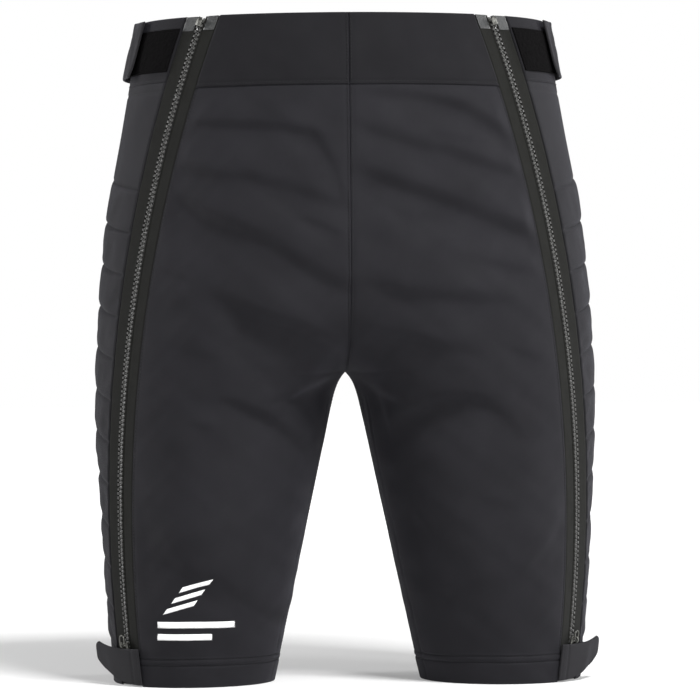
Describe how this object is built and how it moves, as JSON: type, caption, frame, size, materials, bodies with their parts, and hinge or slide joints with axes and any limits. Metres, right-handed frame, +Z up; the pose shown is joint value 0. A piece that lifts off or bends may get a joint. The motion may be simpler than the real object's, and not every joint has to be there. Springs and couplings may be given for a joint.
{
  "type": "padded impact shorts",
  "caption": "Knee-length padded shorts that guard the hips and thighs: quilted side pads, a full-length two-way zip at each side-front, a split waistband and peel tabs.",
  "frame": {"origin": "middle of the bounding box, at the height of the hems that it stands on", "axes": "+Z up from the hems to the waist edge, -Y towards the front, +X towards the wearer's left leg"},
  "size_m": [0.4034, 0.2724, 0.525],
  "materials": {
    "softshell": "matt woven softshell",
    "waistband_cloth": "matt woven softshell, double layer",
    "quilted_cloth": "matt woven softshell quilted over foam",
    "tab_cloth": "matt woven softshell, folded and edge stitched",
    "zip_tape": "ribbed woven tape",
    "zip_teeth": "moulded teeth, satin",
    "slider_metal": "gunmetal coated zinc",
    "hook_and_loop": "napped loop pile and moulded hooks",
    "foam": "closed-cell impact foam",
    "lining": "knitted mesh lining"
  },
  "bodies": {
    "shorts": {"front_panel_left": "softshell", "front_panel_right": "softshell", "back_panel_left": "softshell", "back_panel_right": "softshell", "side_shell_left": "quilted_cloth", "side_shell_right": "quilted_cloth", "waistband_front_left": "waistband_cloth", "waistband_front_right": "waistband_cloth", "waistband_rear_left": "waistband_cloth", "waistband_rear_right": "waistband_cloth", "foam_bar_01_left": "foam", "foam_bar_01_right": "foam", "foam_bar_02_left": "foam", "foam_bar_02_right": "foam", "foam_bar_03_left": "foam", "foam_bar_03_right": "foam", "foam_bar_04_left": "foam", "foam_bar_04_right": "foam", "foam_bar_05_left": "foam", "foam_bar_05_right": "foam", "foam_bar_06_left": "foam", "foam_bar_06_right": "foam", "foam_bar_07_left": "foam", "foam_bar_07_right": "foam", "foam_bar_08_left": "foam", "foam_bar_08_right": "foam", "foam_bar_09_left": "foam", "foam_bar_09_right": "foam", "foam_bar_10_left": "foam", "foam_bar_10_right": "foam", "foam_bar_11_left": "foam", "foam_bar_11_right": "foam", "pad_lining_left": "lining", "pad_lining_right": "lining", "zip_tape_front_left": "zip_tape", "zip_tape_front_right": "zip_tape", "zip_tape_side_left": "zip_tape", "zip_tape_side_right": "zip_tape", "zip_teeth_front_left": "zip_teeth", "zip_teeth_front_right": "zip_teeth", "zip_teeth_side_left": "zip_teeth", "zip_teeth_side_right": "zip_teeth", "hem_loop_left": "hook_and_loop", "hem_loop_right": "hook_and_loop", "waist_loop_left": "hook_and_loop", "waist_loop_right": "hook_and_loop"},
    "top_slider_right": {"top_slider_right": "slider_metal"},
    "top_pull_right": {"top_slider_pull_right": "slider_metal"},
    "bottom_slider_right": {"bottom_slider_right": "slider_metal"},
    "bottom_pull_right": {"bottom_slider_pull_right": "slider_metal"},
    "hem_tab_right": {"hem_tab_right": "tab_cloth", "hem_hook_right": "hook_and_loop"},
    "waist_tab_right": {"waist_tab_right": "tab_cloth"},
    "top_slider_left": {"top_slider_left": "slider_metal"},
    "top_pull_left": {"top_slider_pull_left": "slider_metal"},
    "bottom_slider_left": {"bottom_slider_left": "slider_metal"},
    "bottom_pull_left": {"bottom_slider_pull_left": "slider_metal"},
    "hem_tab_left": {"hem_tab_left": "tab_cloth", "hem_hook_left": "hook_and_loop"},
    "waist_tab_left": {"waist_tab_left": "tab_cloth"}
  },
  "joints": [
    {"name": "top_slider_right_travel", "type": "hinge", "parent": "shorts", "child": "top_slider_right", "pos_m": [0.9505, -0.065, 0.14], "axis": [0, -0.9977, -0.0684], "range_deg": [0, 17.5]},
    {"name": "top_pull_right_swing", "type": "hinge", "parent": "top_slider_right", "child": "top_pull_right", "pos_m": [-0.11283, -0.08593, 0.51085], "axis": [0.7293, -0.6146, -0.3007], "range_deg": [0, 80]},
    {"name": "bottom_slider_right_travel", "type": "hinge", "parent": "shorts", "child": "bottom_slider_right", "pos_m": [0.9505, -0.065, 0.14], "axis": [0, 0.9977, 0.0684], "range_deg": [0, 5.5]},
    {"name": "bottom_pull_right_swing", "type": "hinge", "parent": "bottom_slider_right", "child": "bottom_pull_right", "pos_m": [-0.17929, -0.06082, 0.03277], "axis": [0.5427, -0.8399, -0.0038], "range_deg": [0, 90]},
    {"name": "hem_tab_right_peel", "type": "hinge", "parent": "shorts", "child": "hem_tab_right", "pos_m": [-0.16545, -0.07266, 0.01569], "axis": [-0.11, -0.068, 0.9916], "range_deg": [-2, 130]},
    {"name": "waist_tab_right_peel", "type": "hinge", "parent": "shorts", "child": "waist_tab_right", "pos_m": [-0.13468, 0.06412, 0.50223], "axis": [-0.1392, 0.1387, -0.9805], "range_deg": [0, 100]},
    {"name": "top_slider_left_travel", "type": "hinge", "parent": "shorts", "child": "top_slider_left", "pos_m": [-0.9505, -0.065, 0.14], "axis": [0, 0.9977, 0.0684], "range_deg": [0, 17.5]},
    {"name": "top_pull_left_swing", "type": "hinge", "parent": "top_slider_left", "child": "top_pull_left", "pos_m": [0.11283, -0.08593, 0.51085], "axis": [0.7293, 0.6146, 0.3007], "range_deg": [0, 80]},
    {"name": "bottom_slider_left_travel", "type": "hinge", "parent": "shorts", "child": "bottom_slider_left", "pos_m": [-0.9505, -0.065, 0.14], "axis": [0, -0.9977, -0.0684], "range_deg": [0, 5.5]},
    {"name": "bottom_pull_left_swing", "type": "hinge", "parent": "bottom_slider_left", "child": "bottom_pull_left", "pos_m": [0.17929, -0.06082, 0.03277], "axis": [0.5427, 0.8399, 0.0038], "range_deg": [0, 90]},
    {"name": "hem_tab_left_peel", "type": "hinge", "parent": "shorts", "child": "hem_tab_left", "pos_m": [0.16545, -0.07266, 0.01569], "axis": [-0.11, 0.068, -0.9916], "range_deg": [-2, 130]},
    {"name": "waist_tab_left_peel", "type": "hinge", "parent": "shorts", "child": "waist_tab_left", "pos_m": [0.13468, 0.06412, 0.50223], "axis": [-0.1392, -0.1387, 0.9805], "range_deg": [0, 100]}
  ]
}
